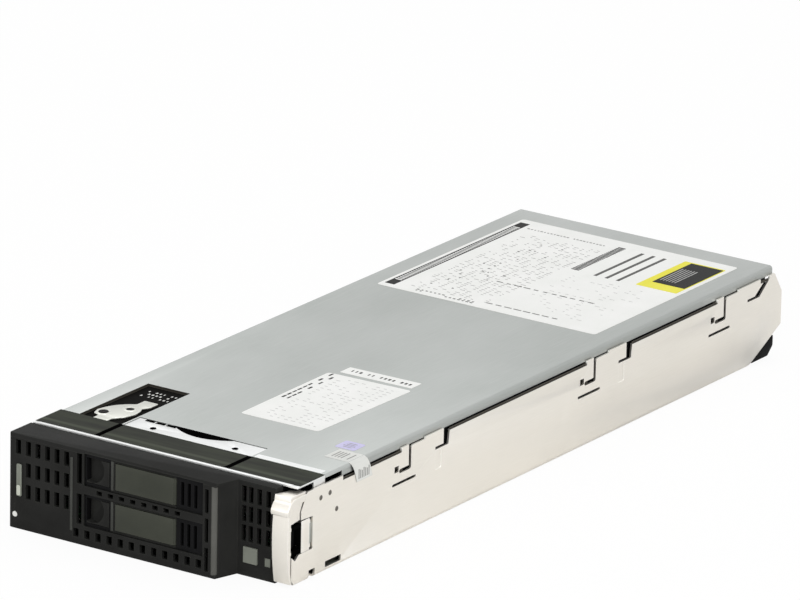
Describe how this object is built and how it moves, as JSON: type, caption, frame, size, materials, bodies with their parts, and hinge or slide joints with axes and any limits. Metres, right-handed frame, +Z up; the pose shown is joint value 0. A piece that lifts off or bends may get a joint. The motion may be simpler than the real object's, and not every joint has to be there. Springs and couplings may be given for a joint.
{
  "type": "blade server",
  "caption": "Half-height blade server: folded steel tray with a sliding latched cover, moulded vented front, hot-plug drive bays, ejector lever and rear midplane connectors.",
  "frame": {"origin": "centre of the footprint, on the surface that the blade lies on", "axes": "+X to the right seen from the front (the ejector lever's side), +Y from the bezel to the rear connectors, +Z up through the cover"},
  "size_m": [0.181, 0.5176, 0.0556],
  "materials": {
    "zinc_sheet": "zinc-plated sheet, fine grain",
    "warm_sheet": "zinc-plated sheet, warm and bright",
    "bright_steel": "bright zinc-plated steel",
    "bezel_plastic": "moulded, fine matte texture",
    "trim_plastic": "moulded, satin",
    "drive_plastic": "moulded, satin",
    "button_plastic": "moulded, satin",
    "white_plastic": "glossy",
    "film_plastic": "glossy printed film",
    "black_sheet": "matte black paint",
    "latch_metal": "bright brushed",
    "circuit_board": "solder mask over glass laminate",
    "connector_plastic": "moulded, matte",
    "fin_aluminium": "extruded and skived",
    "disk_metal": "cast and machined",
    "capacitor_sleeve": "shrink sleeve"
  },
  "bodies": {
    "chassis": {"base_pan": "warm_sheet", "front_bezel": "bezel_plastic", "edge_trim": "trim_plastic", "front_deck": "zinc_sheet", "deck_film": "film_plastic", "drive_cage": "bright_steel", "drive_backplane": "circuit_board", "backplane_connectors": "connector_plastic", "system_board": "circuit_board", "standoffs": "bright_steel", "board_screws": "bright_steel", "cpu_sockets": "connector_plastic", "processors": "bright_steel", "front_heatsink": "fin_aluminium", "rear_heatsink": "fin_aluminium", "heatsink_screws": "bright_steel", "dimm_sockets": "connector_plastic", "dimm_modules": "circuit_board", "air_baffle": "bezel_plastic", "mezzanine_card": "circuit_board", "mezzanine_connector": "connector_plastic", "mezzanine_spacers": "bright_steel", "network_adapter": "circuit_board", "network_connector": "connector_plastic", "cache_module": "circuit_board", "capacitor_pack": "capacitor_sleeve", "coin_cell": "bright_steel", "cell_holder": "connector_plastic", "signal_connector": "connector_plastic", "power_connector": "connector_plastic", "guide_blocks": "bright_steel", "rear_panel": "zinc_sheet", "edge_insulator": "connector_plastic", "pull_tab_guide": "bezel_plastic", "lever_bracket": "zinc_sheet", "lever_pin": "bright_steel", "bracket_rivets": "bright_steel", "status_window": "button_plastic"},
    "cover": {"access_panel": "zinc_sheet", "latch_pad": "black_sheet", "latch_pivot": "bright_steel"},
    "cover_latch": {"cover_latch": "latch_metal"},
    "ejector": {"release_lever": "warm_sheet"},
    "release_button": {"release_button": "button_plastic"},
    "power_button": {"power_button": "white_plastic"},
    "pull_tab": {"pull_tab": "button_plastic"},
    "drive_1": {"drive_1_carrier": "bezel_plastic", "drive_1_disk": "disk_metal"},
    "drive_1_lever": {"drive_1_lever": "drive_plastic"},
    "drive_1_button": {"drive_1_button": "bezel_plastic"},
    "drive_2": {"drive_2_carrier": "bezel_plastic", "drive_2_disk": "disk_metal"},
    "drive_2_lever": {"drive_2_lever": "drive_plastic"},
    "drive_2_button": {"drive_2_button": "bezel_plastic"}
  },
  "joints": [
    {"name": "cover_slide", "type": "slide", "parent": "chassis", "child": "cover", "axis": [0, 1, 0], "range_m": [0, 0.008]},
    {"name": "cover_latch_turn", "type": "hinge", "parent": "cover", "child": "cover_latch", "pos_m": [-0.0684, -0.2003, 0.054], "axis": [0, 0, 1], "range_deg": [0, 25]},
    {"name": "ejector_swing", "type": "hinge", "parent": "chassis", "child": "ejector", "pos_m": [0.0881, -0.2278, 0.0265], "axis": [0, 0, 1], "range_deg": [0, 70]},
    {"name": "release_button_press", "type": "slide", "parent": "chassis", "child": "release_button", "axis": [0, 1, 0], "range_m": [0, 0.002], "stiffness_N_per_m": 500},
    {"name": "power_button_press", "type": "slide", "parent": "chassis", "child": "power_button", "axis": [0, 1, 0], "range_m": [0, 0.001], "stiffness_N_per_m": 500},
    {"name": "pull_tab_slide", "type": "slide", "parent": "chassis", "child": "pull_tab", "axis": [0, -1, 0], "range_m": [0, 0.06]},
    {"name": "drive_1_slide", "type": "slide", "parent": "chassis", "child": "drive_1", "axis": [0, -1, 0], "range_m": [0, 0.12]},
    {"name": "drive_1_lever_swing", "type": "hinge", "parent": "drive_1", "child": "drive_1_lever", "pos_m": [0.021, -0.2562, 0.0206], "axis": [0, 0, 1], "range_deg": [0, 55]},
    {"name": "drive_1_button_press", "type": "slide", "parent": "drive_1", "child": "drive_1_button", "axis": [0, 1, 0], "range_m": [0, 0.0015], "stiffness_N_per_m": 500},
    {"name": "drive_2_slide", "type": "slide", "parent": "chassis", "child": "drive_2", "axis": [0, -1, 0], "range_m": [0, 0.12]},
    {"name": "drive_2_lever_swing", "type": "hinge", "parent": "drive_2", "child": "drive_2_lever", "pos_m": [0.021, -0.2562, 0.044], "axis": [0, 0, 1], "range_deg": [0, 55]},
    {"name": "drive_2_button_press", "type": "slide", "parent": "drive_2", "child": "drive_2_button", "axis": [0, 1, 0], "range_m": [0, 0.0015], "stiffness_N_per_m": 500}
  ]
}
